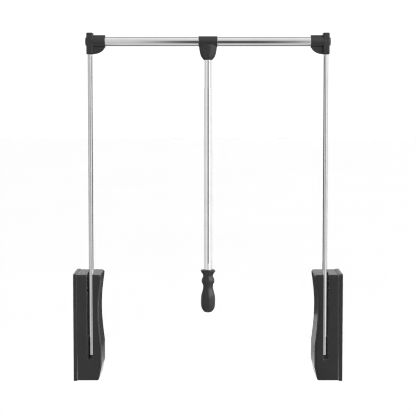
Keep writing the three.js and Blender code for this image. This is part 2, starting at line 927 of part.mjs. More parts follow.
/** A rounded cross section between an ellipse and a rectangle. */
function softOutline(halfWidth, halfDepth, count) {
  const power = 2 / tee.squareness;
  const soften = (value) => Math.sign(value) * Math.pow(Math.abs(value), power);
  return Array.from({ length: count }, (_, i) => {
    const angle = (Math.PI * 2 * i) / count;
    const x = halfWidth * soften(Math.cos(angle));
    return new THREE.Vector2(x, layout.armDepth + halfDepth * soften(Math.sin(angle)));
  });
}

function teeConnector() {
  const { railHeight, armDepth } = layout;
  const sleeve = bar(tee.sleeveRadius, -tee.halfLength, tee.halfLength, "x", armDepth, railHeight, sides.large);
  const levels = [
    { drop: tee.drop, width: tee.endRadius, depth: tee.endRadius },
    { drop: tee.waistDrop, width: tee.waistHalfWidth, depth: tee.halfDepth },
    { drop: tee.bellyDrop, width: tee.bellyHalfWidth, depth: tee.halfDepth },
    { drop: tee.shoulderDrop, width: tee.halfLength, depth: tee.halfDepth },
    { drop: tee.halfDepth / 2, width: tee.halfLength, depth: tee.halfDepth / 2 },
  ];
  const socket = loft(
    levels.map((level) => ({
      at: railHeight - level.drop,
      outline: softOutline(level.width, level.depth, sides.large),
    })),
    planView,
  );
  const socketTop = teeFoot + tee.socketDepth;
  const rodBore = rod.upperRadius + fit.gap;
  const past = tee.halfLength + fit.overrun;
  return cut(
    join(sleeve, socket),
    bar(rail.innerRadius + fit.gap, -past, past, "x", armDepth, railHeight, sides.large),
    bar(rodBore, teeFoot - fit.overrun, socketTop, "z", 0, armDepth, sides.large),
    bar(teeScrew.radius + fit.gap, socketTop - fit.overrun, railHeight, "z", 0, armDepth, sides.small),
    rodScrewHole(armDepth, armDepth + tee.halfDepth + fit.overrun),
  );
}

/** Screw up through the T connector, whose tip rides in the groove of the inner tube. */
function teeScrewBody() {
  const headEnd = teeFoot + tee.socketDepth - fit.gap;
  const tip = layout.railHeight - teeScrew.tipRadius;
  const profile = [
    [0, headEnd - teeScrew.head],
    [teeScrew.headRadius, headEnd - teeScrew.head],
    [teeScrew.headRadius, headEnd],
    [teeScrew.radius, headEnd],
    [teeScrew.radius, tip],
    [0, tip],
  ];
  return turned(profile, "z", 0, layout.armDepth, sides.small);
}

/** Hole for the screw that holds the upper tube in the T connector. */
function rodScrewHole(from, to) {
  return bar(rodScrew.radius + fit.gap, from, to, "y", 0, teeFoot + rodScrew.rise, sides.small);
}

function rodScrewBody() {
  const seat = layout.armDepth + tee.halfDepth + fit.gap;
  const tip = layout.armDepth + rod.upperRadius - rod.upperWall - rodScrew.bite;
  const profile = [
    [0, tip],
    [rodScrew.radius, tip],
    [rodScrew.radius, seat],
    [rodScrew.headRadius, seat],
    [rodScrew.headRadius, seat + rodScrew.head],
    [0, seat + rodScrew.head],
  ];
  return turned(profile, "y", 0, teeFoot + rodScrew.rise, sides.small);
}

/** A tube of the pull rod between two heights. */
function onRod(radius, bore, from, to, count) {
  return tube(radius, bore, from, to, "z", 0, layout.armDepth, count);
}

function upperRodTube() {
  const body = onRod(rod.upperRadius, rod.upperRadius - rod.upperWall, rod.upperFoot, rodTop, sides.large);
  return cut(body, rodScrewHole(layout.armDepth, layout.armDepth + rod.upperRadius + fit.overrun));
}

/** Guide at the foot of the upper tube, running in the lower tube. */
function rodGlide() {
  const plugRadius = rod.upperRadius - rod.upperWall - fit.gap;
  const seat = rod.upperFoot - fit.gap;
  const profile = [
    [0, seat - glide.collar],
    [rod.upperRadius, seat - glide.collar],
    [rod.upperRadius, seat],
    [plugRadius, seat],
    [plugRadius, seat + glide.plug],
    [0, seat + glide.plug],
  ];
  return turned(profile, "z", 0, layout.armDepth, sides.large);
}

function gripBody() {
  const outline = gripOutlineShares.map(([across, up]) => [
    grip.radius * across,
    grip.foot + grip.length * up,
  ]);
  const top = grip.foot + grip.length;
  const profile = [[0, grip.foot], ...outline, [0, top]];
  const body = turned(profile, "z", 0, layout.armDepth, sides.large);
  const boreRadius = rod.lowerRadius + grip.boreFit;
  const boreFoot = rod.lowerFoot - fit.gap;
  const hole = (radius, from, to) => bar(radius, from, to, "z", 0, layout.armDepth, sides.large);
  return cut(
    body,
    hole(boreRadius, boreFoot, top + fit.overrun),
    hole(grip.screwHole, grip.foot - fit.overrun, boreFoot - grip.web),
    hole(gripScrew.radius + fit.gap, grip.foot, boreFoot + fit.overrun),
  );
}

/** Screw up through the foot of the grip into the plug in the lower tube. */
function gripScrewBody() {
  const seat = rod.lowerFoot - fit.gap - grip.web - fit.gap;
  const tip = rod.lowerFoot + gripScrew.bite;
  const profile = [
    [0, seat - gripScrew.head],
    [gripScrew.headRadius, seat - gripScrew.head],
    [gripScrew.headRadius, seat],
    [gripScrew.radius, seat],
    [gripScrew.radius, tip],
    [0, tip],
  ];
  return turned(profile, "z", 0, layout.armDepth, sides.small);
}

function middle() {
  const group = new THREE.Group();
  const lowerBore = rod.lowerRadius - rod.lowerWall;
  const plugTop = rod.lowerFoot + gripPlug.length;
  const lowerTube = onRod(rod.lowerRadius, lowerBore, rod.lowerFoot, lowerTubeTop, sides.large);
  const plugBore = gripScrew.radius + fit.gap;
  const plug = onRod(lowerBore - fit.gap, plugBore, rod.lowerFoot, plugTop, sides.large);
  group.add(
    piece("rail_inner_tube", railInnerTube(), "steel"),
    piece("t_connector", teeConnector(), "black"),
    piece("t_retaining_screw", teeScrewBody(), "steel"),
    piece("rod_fixing_screw", rodScrewBody(), "steel"),
    piece("upper_rod_tube", upperRodTube(), "chrome"),
    piece("rod_glide", rodGlide(), "nylon"),
    piece("lower_rod_tube", lowerTube, "chrome"),
    piece("grip", gripBody(), "black"),
    piece("grip_plug", plug, "nylon"),
    piece("grip_screw", gripScrewBody(), "steel"),
  );
  return group;
}

const closetRod = new THREE.Group();
const left = side("left");
left.position.x = -halfSpan;
const right = side("right");
right.position.x = halfSpan;
right.scale.x = -1;
closetRod.add(left, right, middle());

export default closetRod;
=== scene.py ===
"""Looks of a pull down closet rod: two wall units, two arms, a sliding rail and a pull rod with a grip.

Metres, +Z up, front towards -Y. Every new piece is a surface worked out with numpy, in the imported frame.
"""

import json
import math

import bmesh
import bpy
import numpy as np
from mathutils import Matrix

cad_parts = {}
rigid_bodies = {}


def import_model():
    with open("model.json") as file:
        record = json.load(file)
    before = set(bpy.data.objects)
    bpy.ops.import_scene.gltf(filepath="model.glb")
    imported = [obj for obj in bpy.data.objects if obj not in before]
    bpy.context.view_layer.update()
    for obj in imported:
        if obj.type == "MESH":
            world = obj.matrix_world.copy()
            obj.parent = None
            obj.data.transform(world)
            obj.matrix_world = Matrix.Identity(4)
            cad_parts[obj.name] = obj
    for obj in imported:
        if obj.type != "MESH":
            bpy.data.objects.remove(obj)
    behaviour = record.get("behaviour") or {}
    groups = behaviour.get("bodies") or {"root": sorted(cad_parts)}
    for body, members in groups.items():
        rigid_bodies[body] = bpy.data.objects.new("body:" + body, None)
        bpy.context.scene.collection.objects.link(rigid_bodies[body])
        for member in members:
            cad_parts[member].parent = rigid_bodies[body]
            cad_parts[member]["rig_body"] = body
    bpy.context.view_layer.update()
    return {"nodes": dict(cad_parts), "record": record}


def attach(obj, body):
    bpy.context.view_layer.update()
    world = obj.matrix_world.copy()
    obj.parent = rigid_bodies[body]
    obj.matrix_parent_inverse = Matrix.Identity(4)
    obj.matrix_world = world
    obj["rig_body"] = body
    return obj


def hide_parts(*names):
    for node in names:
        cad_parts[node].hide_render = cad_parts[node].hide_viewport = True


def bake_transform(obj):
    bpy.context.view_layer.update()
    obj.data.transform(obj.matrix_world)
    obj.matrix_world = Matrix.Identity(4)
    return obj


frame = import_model()

MM = 0.001
X, Y, Z = 0, 1, 2
BODIES = frame["record"]["behaviour"]["bodies"]
BODY_OF = {node: body for body, nodes in BODIES.items() for node in nodes}
SIDES = {"left": -1, "right": 1}

# The frame's own sizes, in millimetres, as the solids have them.
HALF_SPAN = 328.5
ARM_INSET = 40.2
ARM_DEPTH = -10
RAIL_HEIGHT = 829.5

ROUND = 72  # sides of a tube
SOFT = 5  # points of a rounded edge


# Camera: in the middle, looking slightly down, with the rest of the view's drop from a small shift.
CAMERA_PLACE = (0, -3.274, 0.685)
LENS = 115.1
TILT_DOWN = 3.735  # degrees
SHIFT_DOWN = -0.049


def make_camera():
    data = bpy.data.cameras.new("camera")
    data.lens = LENS
    data.sensor_width = 36
    data.shift_y = SHIFT_DOWN
    data.clip_end = 200
    camera = bpy.data.objects.new("camera", data)
    camera.location = CAMERA_PLACE
    camera.rotation_euler = (math.radians(90 - TILT_DOWN), 0, 0)
    bpy.context.scene.collection.objects.link(camera)
    bpy.context.scene.camera = camera


# Shader node helpers. A Mix node set to colours has its inputs and its output at these places.
MIX_SHARE, MIX_FIRST, MIX_SECOND, MIX_RESULT = 0, 6, 7, 2


def grey(value):
    return (value, value, value, 1)


def node(tree, kind, inputs=(), **settings):
    """A shader node with its settings; inputs are (socket, value or output) pairs."""
    made = tree.nodes.new(kind)
    for name, value in settings.items():
        setattr(made, name, value)
    for socket, value in inputs:
        if isinstance(value, bpy.types.NodeSocket):
            tree.links.new(value, made.inputs[socket])
        else:
            made.inputs[socket].default_value = value
    return made


def math_node(tree, operation, *values):
    """One step of arithmetic on numbers and outputs."""
    return node(tree, "ShaderNodeMath", enumerate(values), operation=operation).outputs[0]


def blend(tree, share, first, second, kind="MIX"):
    """The second colour laid over the first by a share."""
    inputs = [(MIX_SHARE, share), (MIX_FIRST, first), (MIX_SECOND, second)]
    return node(tree, "ShaderNodeMix", inputs, data_type="RGBA", blend_type=kind).outputs[MIX_RESULT]


def ramp(tree, factor, stops):
    """A ramp of greys through stops of (place, value), in rising order."""
    made = node(tree, "ShaderNodeValToRGB", [("Fac", factor)])
    line = made.color_ramp.elements
    line[0].position, line[1].position = stops[0][0], stops[-1][0]
    for place, _ in stops[1:-1]:
        line.new(place)
    for element, (_, value) in zip(line, stops):
        element.color = grey(value)
    return made.outputs["Color"]


def noise(tree, place, scale, detail, **more):
    """Cloudy noise from 0 to 1, with about scale clouds to a metre."""
    inputs = {"Vector": place, "Scale": scale, "Detail": detail, **more}
    return node(tree, "ShaderNodeTexNoise", inputs.items()).outputs["Fac"]


SKIN_OUTPUTS = {"Color": "NodeSocketColor", "Roughness": "NodeSocketFloat", "Normal": "NodeSocketVector"}


def skin_group(name, inputs):
    """A new node group that gives a colour, a roughness and a normal, with (name, kind, default) inputs."""
    tree = bpy.data.node_groups.new(name, "ShaderNodeTree")
    for label, kind, default in inputs:
        socket = tree.interface.new_socket(label, in_out="INPUT", socket_type=kind)
        socket.default_value = default
    for label, kind in SKIN_OUTPUTS.items():
        tree.interface.new_socket(label, in_out="OUTPUT", socket_type=kind)
    return tree, tree.nodes.new("NodeGroupInput").outputs, tree.nodes.new("NodeGroupOutput").inputs


def give(tree, out, *results):
    """Joins a skin's colour, roughness and normal to its group's outputs."""
    for label, result in zip(SKIN_OUTPUTS, results):
        tree.links.new(result, out[label])


def moulded_skin():
    """Skin of moulded plastic: fine spark grain, slow waves of the wall, and a cloudy sheen."""
    tree, given, out = skin_group(
        "moulded_skin",
        [
            ("Base", "NodeSocketColor", grey(0.02)),
            ("Sheen", "NodeSocketFloat", 0.4),
            ("Grain", "NodeSocketFloat", 900),
            ("Depth", "NodeSocketFloat", 0.1),
        ],
    )
    place = node(tree, "ShaderNodeTexCoord").outputs["Object"]
    grain = noise(tree, place, given["Grain"], detail=3, Roughness=0.6)
    cloud = noise(tree, place, scale=22, detail=4)
    wave = noise(tree, place, scale=9, detail=1)
    clouded = blend(tree, 1, given["Base"], ramp(tree, cloud, [(0.3, 0.88), (0.7, 1.12)]), "MULTIPLY")
    toned = blend(tree, 1, clouded, ramp(tree, grain, [(0.35, 0.9), (0.7, 1.15)]), "MULTIPLY")
    spread = math_node(tree, "MULTIPLY_ADD", cloud, 0.16, -0.08)
    rough = math_node(tree, "ADD", given["Sheen"], spread)
    slow_bump = [("Strength", 0.08), ("Distance", 0.002), ("Height", wave)]
    slow = node(tree, "ShaderNodeBump", slow_bump).outputs[0]
    fine_bump = [("Strength", given["Depth"]), ("Distance", 0.0002), ("Height", grain), ("Normal", slow)]
    fine = node(tree, "ShaderNodeBump", fine_bump).outputs[0]
    give(tree, out, toned, rough, fine)
    return tree


def worked_metal():
    """Skin of worked metal: drawn lines along one axis, and cloudy dulling."""
    tree, given, out = skin_group(
        "metal_marks",
        [
            ("Base", "NodeSocketColor", grey(0.8)),
            ("Gloss", "NodeSocketFloat", 0.1),
            ("Lines", "NodeSocketVector", (1, 1, 1)),
            ("Spread", "NodeSocketFloat", 0.05),
        ],
    )
    place = node(tree, "ShaderNodeTexCoord").outputs["Object"]
    drawn = node(tree, "ShaderNodeMapping", [("Vector", place), ("Scale", given["Lines"])]).outputs[0]
    lines = noise(tree, drawn, scale=1, detail=3)
    cloud = noise(tree, place, scale=30, detail=4)
    tone = blend(tree, 1, given["Base"], ramp(tree, cloud, [(0.3, 0.93), (0.65, 1.0)]), "MULTIPLY")
    marks = math_node(tree, "MULTIPLY_ADD", lines, 0.5, cloud)
    rough = math_node(tree, "MULTIPLY_ADD", marks, given["Spread"], given["Gloss"])
    line_bump = [("Strength", 0.05), ("Distance", 0.0002), ("Height", lines)]
    give(tree, out, tone, rough, node(tree, "ShaderNodeBump", line_bump).outputs[0])
    return tree


GROUPS = {"moulded": moulded_skin(), "metal": worked_metal()}


def empty_material(name):
    material = bpy.data.materials.new(name)
    material.use_nodes = True
    material.node_tree.nodes.clear()
    return material, material.node_tree


def shade(tree, inputs):
    """A principled shader, joined to its material's output."""
    shader = node(tree, "ShaderNodeBsdfPrincipled", inputs)
    output = node(tree, "ShaderNodeOutputMaterial")
    tree.links.new(shader.outputs[0], output.inputs["Surface"])
    return shader


def surface(name, kind, values):
    """A material whose colour, roughness and normal come from one of the groups, with its own values."""
    material, tree = empty_material(name)
    skin = node(tree, "ShaderNodeGroup", values.items(), node_tree=GROUPS[kind])
    inputs = [
        ("Base Color", skin.outputs["Color"]),
        ("Roughness", skin.outputs["Roughness"]),
        ("Normal", skin.outputs["Normal"]),
        ("Metallic", float(kind == "metal")),
    ]
    shade(tree, inputs)
    return material


# Drawn lines to a metre along each axis: long ones up and down, long ones across, or none longer than others.
UPRIGHT = (400, 400, 6)
LEVEL = (6, 400, 400)
EVEN = (300, 300, 300)
WOUND = (200, 200, 200)
COARSE = (60, 60, 60)
NATURAL_NYLON = (0.72, 0.7, 0.64, 1)
# Each finish: the group that makes its skin, and what goes into it.
FINISHES = {
    "cover_plastic": ("moulded", {"Base": grey(0.016), "Sheen": 0.22, "Grain": 1100, "Depth": 0.25}),
    "black_plastic": ("moulded", {"Base": grey(0.018), "Sheen": 0.36, "Grain": 1100, "Depth": 0.35}),
    "grip_plastic": ("moulded", {"Base": grey(0.019), "Sheen": 0.3, "Grain": 500, "Depth": 0.12}),
    "satin_upright": ("metal", {"Base": grey(0.68), "Gloss": 0.14, "Lines": UPRIGHT, "Spread": 0.05}),
    "chrome_upright": ("metal", {"Base": grey(0.97), "Gloss": 0.045, "Lines": UPRIGHT, "Spread": 0.03}),
    "chrome_level": ("metal", {"Base": grey(0.97), "Gloss": 0.045, "Lines": LEVEL, "Spread": 0.03}),
    # Painted shade: the bracket and crank plate, seen through the slot, are near black. Part of that is their
    # own dark steel and part is painted shade of the slot's inside.
    "bracket_steel": ("moulded", {"Base": grey(0.01), "Sheen": 0.5, "Grain": 700, "Depth": 0.2}),
    "zinc_steel": ("metal", {"Base": grey(0.55), "Gloss": 0.28, "Lines": COARSE, "Spread": 0.2}),
    "spring_steel": ("metal", {"Base": grey(0.3), "Gloss": 0.25, "Lines": WOUND, "Spread": 0.15}),
    "fastener_steel": ("metal", {"Base": grey(0.55), "Gloss": 0.22, "Lines": EVEN, "Spread": 0.15}),
    # Painted shade: the pins in the wall units are made near black, so that they look as dark as the shade
    # inside the slot.
    "pin_steel_painted_shade": ("metal", {"Base": grey(0.03), "Gloss": 0.45, "Lines": EVEN, "Spread": 0.1}),
    "nylon": ("moulded", {"Base": NATURAL_NYLON, "Sheen": 0.45, "Grain": 400, "Depth": 0.1}),
    "rubber": ("moulded", {"Base": grey(0.012), "Sheen": 0.75, "Grain": 600, "Depth": 0.2}),
}
MATERIALS = {name: surface(name, kind, values) for name, (kind, values) in FINISHES.items()}
# What has each finish. Everything else is of fastener steel.
FINISHED = {
    "cover_plastic": ["wall_plate", "cover"],
    "black_plastic": ["arm_foot_cap", "corner_connector", "corner_cap", "t_connector"],
    "grip_plastic": ["grip"],
    "satin_upright": ["arm_tube"],
    "chrome_upright": ["upper_rod_tube", "lower_rod_tube"],
    "chrome_level": ["rail_tube", "rail_inner_tube"],
    # Near black: partly their own dark steel, partly painted shade of the slot's inside.
    "bracket_steel": ["bracket", "crank_plate"],
    "spring_steel": ["spring"],
    # Painted shade: these pins are darkened to stand in for the shade inside the slot.
    "pin_steel_painted_shade": [
        "pivot_pin",
        "rest_stop_pin",
        "lowered_stop_pin",
        "spring_anchor_pin",
        "spring_pin",
        "crank_rivet",
    ],
    "nylon": ["pivot_spacer_outer", "pivot_spacer_inner", "rail_end_plug", "rod_glide", "grip_plug"],
    "rubber": ["rest_bumper", "lowered_bumper"],
}
FINISH_OF = {part: name for name, parts in FINISHED.items() for part in parts}


def plain_name(name):
    """A node's name without its side."""
    for side in SIDES:
        name = name.removeprefix(side + "_")
    return name


def material_of(name):
    return MATERIALS[FINISH_OF.get(plain_name(name), "fastener_steel")]


# Mesh helpers. Points are in millimetres until they reach the mesh. A form is its (points, faces).
SAME_PLACE = 1e-6  # metres: points nearer than this are joined
NO_LENGTH = 1e-7  # metres: shorter edges are dissolved
TINY = 1e-9  # less than any size here
SIDE_SHARE = 0.45  # the most of a side that one soft corner takes
LONG_SIDE = 6  # a side is long from this many corner radii on
TUBE_EDGE = 0.4


def piece(name, points, faces, sharp=35):
    """A piece from points (n, 3) and faces (m, 4), which stands for the CAD node of its name. Edges with more
    than this many degrees between their faces stay sharp."""
    mesh = bpy.data.meshes.new(name + "_form")
    mesh.from_pydata((np.asarray(points, float) * MM).tolist(), [], np.asarray(faces).tolist())
    work = bmesh.new()
    work.from_mesh(mesh)
    bmesh.ops.remove_doubles(work, verts=work.verts, dist=SAME_PLACE)
    bmesh.ops.dissolve_degenerate(work, edges=work.edges, dist=NO_LENGTH)
    bmesh.ops.recalc_face_normals(work, faces=work.faces)
    work.to_mesh(mesh)
    work.free()
    mesh.polygons.foreach_set("use_smooth", np.ones(len(mesh.polygons), bool))
    mesh.set_sharp_from_angle(angle=math.radians(sharp))
    made = bpy.data.objects.new(name + "_shown", mesh)
    bpy.context.scene.collection.objects.link(made)
    mesh.materials.append(material_of(name))
    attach(made, BODY_OF[name])
    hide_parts(name)
    return made


def grid_faces(rows, columns, ring=False):
    """Quads of a grid of points, row by row. In a ring each row closes on itself."""
    index = np.arange(rows * columns).reshape(rows, columns)
    if ring:
        index = np.hstack([index, index[:, :1]])
    corners = [index[:-1, :-1], index[:-1, 1:], index[1:, 1:], index[1:, :-1]]
    return np.stack(corners, axis=-1).reshape(-1, 4)


def flat_grid(rows, columns, axes, place):
    """Points of a flat grid, with its rows and columns along two axes, at a place on the third."""
    grid = np.full((len(rows), len(columns), 3), float(place))
    grid[..., axes[0]], grid[..., axes[1]] = np.meshgrid(rows, columns, indexing="ij")
    return grid


def grid_form(grid, kept=None, flip=False):
    """A grid of points as a form: all its quads or those kept, turned round if flipped."""
    quads = grid_faces(*grid.shape[:2])
    if kept is not None:
        quads = quads[kept.ravel()]
    return grid.reshape(-1, 3), quads[:, ::-1] if flip else quads


def merge(*forms):
    """Several forms as one."""
    points, faces, count = [], [], 0
    for form_points, form_faces in forms:
        points.append(form_points)
        faces.append(form_faces + count)
        count += len(form_points)
    return np.concatenate(points), np.concatenate(faces)


def loft(rings, first, last):
    """A skin over rings of points that is drawn together to a point at each end."""
    count = rings.shape[1]
    rings = np.concatenate([np.tile(first, (1, count, 1)), rings, np.tile(last, (1, count, 1))])
    return rings.reshape(-1, 3), grid_faces(len(rings), count, ring=True)


def fillet(profile, radius):
    """A polyline with each inner corner turned into a quadratic curve between points at the radius."""
    points = [np.asarray(p, float) for p in profile]
    made = [points[0]]
    t = np.linspace(0, 1, SOFT)[:, None]
    for before, corner, after in zip(points, points[1:], points[2:]):
        a, b = before - corner, after - corner
        long_a, long_b = np.linalg.norm(a), np.linalg.norm(b)
        reach = min(radius, SIDE_SHARE * long_a, SIDE_SHARE * long_b)
        start = corner + a / long_a * reach
        end = corner + b / long_b * reach
        made.extend((1 - t) ** 2 * start + 2 * t * (1 - t) * corner + t**2 * end)
    made.append(points[-1])
    return held_flat(made, radius)


def held_flat(line, step):
    """A polyline with a point near both ends of each long side, so that the side shades flat in between."""
    made = [line[0]]
    for start, end in zip(line, line[1:]):
        length = np.linalg.norm(end - start)
        if length > LONG_SIDE * step:
            ahead = (end - start) / length * step
            made += [start + ahead, end - ahead]
        made.append(end)
    return np.array(made)


def turned(profile, upright_at=None):
    """A turned form: each [radius, place] of the profile goes round the rail's axis, or round an upright line
    where its place across is given. The profile runs up its outside."""
    profile = np.asarray(profile, float)
    angle = np.linspace(0, 2 * np.pi, ROUND, endpoint=False)
    c, s = profile[:, :1] * np.cos(angle), profile[:, :1] * np.sin(angle)
    along = np.repeat(profile[:, 1:], ROUND, axis=1)
    faces = grid_faces(len(profile), ROUND, ring=True)
    if upright_at is None:
        points = np.stack([along, ARM_DEPTH + c, RAIL_HEIGHT + s], axis=-1)
        return points.reshape(-1, 3), faces[:, ::-1]
    return np.stack([upright_at + c, ARM_DEPTH + s, along], axis=-1).reshape(-1, 3), faces


def tube_profile(radius, bore, low, high, edge):
    """Closed profile of a tube with softened edges, up its outside and down its bore."""
    seam = [(radius + bore) / 2, low]
    return fillet([seam, [radius, low], [radius, high], [bore, high], [bore, low], seam], edge)


def tube(name, radius, bore, low, high, upright_at=None):
    """A tube between two places on the rail's axis or on an upright line, closed through its bore."""
    return piece(name, *turned(tube_profile(radius, bore, low, high, TUBE_EDGE), upright_at))


def across(side, inset):
    """Where a place that is measured from a wall inwards lies across the object."""
    return SIDES[side] * (HALF_SPAN - inset)


def on_side(points, faces, side):
    """A form that is measured from the wall inwards, on its own side. The mirror image has its faces turned
    round."""
    points = np.array(points, float)
    points[:, X] = across(side, points[:, X])
    return points, faces if side == "right" else faces[:, ::-1]


def smooth_step(value):
    """From 0 to 1 with level ends: 3 t^2 - 2 t^3."""
    t = np.clip(value, 0, 1)
    return t * t * (3 - 2 * t)


def smooth_curve(at, places, values):
    """A smooth curve through known points: Catmull-Rom slopes with cubic Hermite pieces."""
    slope = np.gradient(values, places)
    i = np.clip(np.searchsorted(places, at, side="right") - 1, 0, len(places) - 2)
    span = places[i + 1] - places[i]
    t = (at - places[i]) / span
    h00, h10 = 2 * t**3 - 3 * t**2 + 1, t**3 - 2 * t**2 + t
    h01, h11 = 3 * t**2 - 2 * t**3, t**3 - t**2
    return h00 * values[i] + h10 * span * slope[i] + h01 * values[i + 1] + h11 * span * slope[i + 1]


# Cover: a rounded box whose inner flank is drawn in at a waist, open at its back, with a slot for the arm.
COVER = {
    "back": 9.3,
    "reach": 68.2,
    "half_depth": 56.5,
    "foot": 1.5,
    "top": 262,
    "round": 4.5,
    "round_steps": 6,
    "wall": 2.5,
    "slot": (33.6, 46.35),
    "slot_foot": 53.6,
    "notch": -3,
    "notch_radius": 6.6,
    "notch_fade": 1.5,
    "behind_notch": 8,
}
# The inner flank: its waist, the taper at its foot, and what stays flat beside the slot and at the edge.
FLANK = {
    "waist_height": 175,
    "waist_depth": 7,
    "waist_up": 80,
    "waist_down": 91,
    "waist_power": 1.2,
    "taper_depth": 7.3,
    "taper_top": 36,
    "taper_bend": 0.12,
    "flat_by_slot": 1,
    "flat_by_edge": 4,
}
# The top falls off a little towards its inner edge.
BROW = {"width": 8, "height": 9, "fade": 6, "drop": 1.6}


def flank_drawn_in(z):
    """How far the flank lies inside the full reach at a height. The waist is depth * (1 - t^2)^power, where t
    goes from 0 at its height to 1 at its ends. The taper at the foot comes on top."""
    above = z - FLANK["waist_height"]
    t = np.minimum(np.abs(above) / np.where(above > 0, FLANK["waist_up"], FLANK["waist_down"]), 1)
    waist = FLANK["waist_depth"] * (1 - t * t) ** FLANK["waist_power"]
    taper = FLANK["taper_depth"] * smooth_taper((z - COVER["foot"]) / (FLANK["taper_top"] - COVER["foot"]))
    return waist + taper


def smooth_taper(rise):
    """1 at the foot, down in a straight line to 0, with the last bend softened by an exponential."""
    fall, bend = 1 - rise, FLANK["taper_bend"]
    soft = bend / 2 * np.exp(np.minimum(fall - bend, 0) / (bend / 2)) * np.clip(2 * fall / bend, 0, 2)
    return np.where(fall > bend, fall, soft)


def round_box(points, low, high, radius):
    """Points on a box, moved to the box with round edges: the core box is smaller by the radius all round,
    and each point lies at the radius from its nearest place in the core."""
    core = np.clip(points, low + radius, high - radius)
    away = points - core
    length = np.linalg.norm(away, axis=-1, keepdims=True)
    return core + away / np.maximum(length, TINY) * radius


def lines_between(*runs):
    """Places of grid lines: (start, end, count) runs joined, without doubles."""
    lines = [np.linspace(start, end, count + 1) for start, end, count in runs]
    return np.unique(np.round(np.concatenate(lines), 6))


def middles(line):
    return (line[:-1] + line[1:]) / 2


def cover_lines():
    """Grid lines of the cover across, along its depth and up, closer over its round edges."""
    back, reach, half, foot, top = (COVER[k] for k in ("back", "reach", "half_depth", "foot", "top"))
    (slot_start, slot_end), slot_foot, taper_top = COVER["slot"], COVER["slot_foot"], FLANK["taper_top"]
    notch, behind, edge, steps = COVER["notch"], COVER["behind_notch"], COVER["round"], COVER["round_steps"]
    u = lines_between(
        (back, slot_start, 8),
        (slot_start, slot_end, 12),
        (slot_end, reach - edge, 8),
        (reach - edge, reach, steps),
    )
    y = lines_between(
        (-half, -half + edge, steps),
        (-half + edge, notch, 16),
        (notch, behind, 6),
        (behind, half - edge, 14),
        (half - edge, half, steps),
    )
    z = lines_between(
        (foot, foot + edge, steps),
        (foot + edge, taper_top, 14),
        (taper_top, slot_foot, 6),
        (slot_foot, top - edge, 56),
        (top - edge, top, steps),
    )
    return u, y, z


def cover_top(u, y):
    """The top's grid. The notch's round end bends the lines behind it, less and less towards the back."""
    grid = flat_grid(y, u, (Y, X), COVER["top"])
    place, depth = grid[..., X], grid[..., Y]
    notch, radius = COVER["notch"], COVER["notch_radius"]
    last = COVER["half_depth"] - COVER["round"]
    round_end = radius * np.sqrt(np.clip(1 - ((place - sum(COVER["slot"]) / 2) / radius) ** 2, 0, 1))
    fade = np.clip((last - depth) / (last - notch), 0, 1) ** COVER["notch_fade"]
    grid[..., Y] = np.where(depth >= notch - TINY, depth + round_end * fade, depth)
    return grid


def cover_shell(side):
    """The outer skin is five faces of a box, each a grid whose lines follow the slot's edges. The slot's
    cells are left out, the box is rounded, the flank is drawn in, and a wall is put behind the skin."""
    edge, reach, half, foot, top = (COVER[k] for k in ("round", "reach", "half_depth", "foot", "top"))
    slot_start, slot_end = COVER["slot"]
    u, y, z = cover_lines()
    in_slot = (middles(u) > slot_start) & (middles(u) < slot_end)
    front_slot = (middles(z) > COVER["slot_foot"])[:, None] & in_slot
    top_slot = (middles(y) < COVER["notch"])[:, None] & in_slot
    points, faces = merge(
        grid_form(flat_grid(z, u, (Z, X), -half), ~front_slot),
        grid_form(flat_grid(z, u, (Z, X), half), flip=True),
        grid_form(flat_grid(z, y, (Z, Y), reach)),
        grid_form(cover_top(u, y), ~top_slot),
        grid_form(flat_grid(y, u, (Y, X), foot), flip=True),
    )
    # The box goes on behind the open back, so that its back edges aren't rounded.
    low, high = np.array([COVER["back"] - 2 * edge, -half, foot]), np.array([reach, half, top])
    points = round_box(points, low, high, edge)
    near_flank = np.clip((points[:, X] - (reach - BROW["width"])) / BROW["width"], 0, 1)
    near_top = smooth_step((points[:, Z] - (top - BROW["height"])) / BROW["fade"])
    points[:, Z] -= BROW["drop"] * near_flank**2 * near_top
    flat = slot_end + FLANK["flat_by_slot"]
    drawn = smooth_step((points[:, X] - flat) / (reach - FLANK["flat_by_edge"] - flat))
    points[:, X] -= flank_drawn_in(points[:, Z]) * drawn
    made = piece(f"{side}_cover", *on_side(points, faces, side), sharp=50)
    wall = made.modifiers.new("wall", "SOLIDIFY")
    wall.thickness = COVER["wall"] * MM
    wall.offset = -1
    made.visible_glossy = False
    return made


# Corner connector: an upright block with the arm's socket, the rail's sleeve and a gusset under it.
CORNER = {
    "width": 15.7,
    "depth": 30,
    "top": 850.6,
    "foot": 797.9,
    "edge": 2.6,
    "sleeve": 15.6,
    "sleeve_end": 77.55,
    "sleeve_edge": 1.1,
    "bore": 11.8,
    "bore_depth": 12,
}
# The gusset: a band along a quarter of an ellipse, and a thin web that fills what it spans.
GUSSET = {
    "centre_drop": 7.5,
    "across": 29.5,
    "drop": 23,
    "width": 18,
    "thickness": 2.6,
    "edge": 0.8,
    "lead_in": 4,
    "end_drop": 2,
    "web_inset": 1.2,
    "web_root": 2,
    "web_front": -7.5,
    "web_back": 3,
}
BOX_STEPS = 4
GUSSET_POINTS = 25
WEB_ROWS = 6


def soft_box(low, high, radius):
    """A closed box with round edges: a grid over each of its six faces, then rounded."""
    low, high = np.array(low, float), np.array(high, float)
    forms = []
    for axis in (X, Y, Z):
        b, c = (axis + 1) % 3, (axis + 2) % 3
        rows, columns = (edge_lines(low[k], high[k], radius) for k in (b, c))
        # With rows along b and columns along c, the plain order faces down the axis.
        forms.append(grid_form(flat_grid(rows, columns, (b, c), low[axis])))
        forms.append(grid_form(flat_grid(rows, columns, (b, c), high[axis]), flip=True))
    points, faces = merge(*forms)
    return round_box(points, low, high, radius), faces


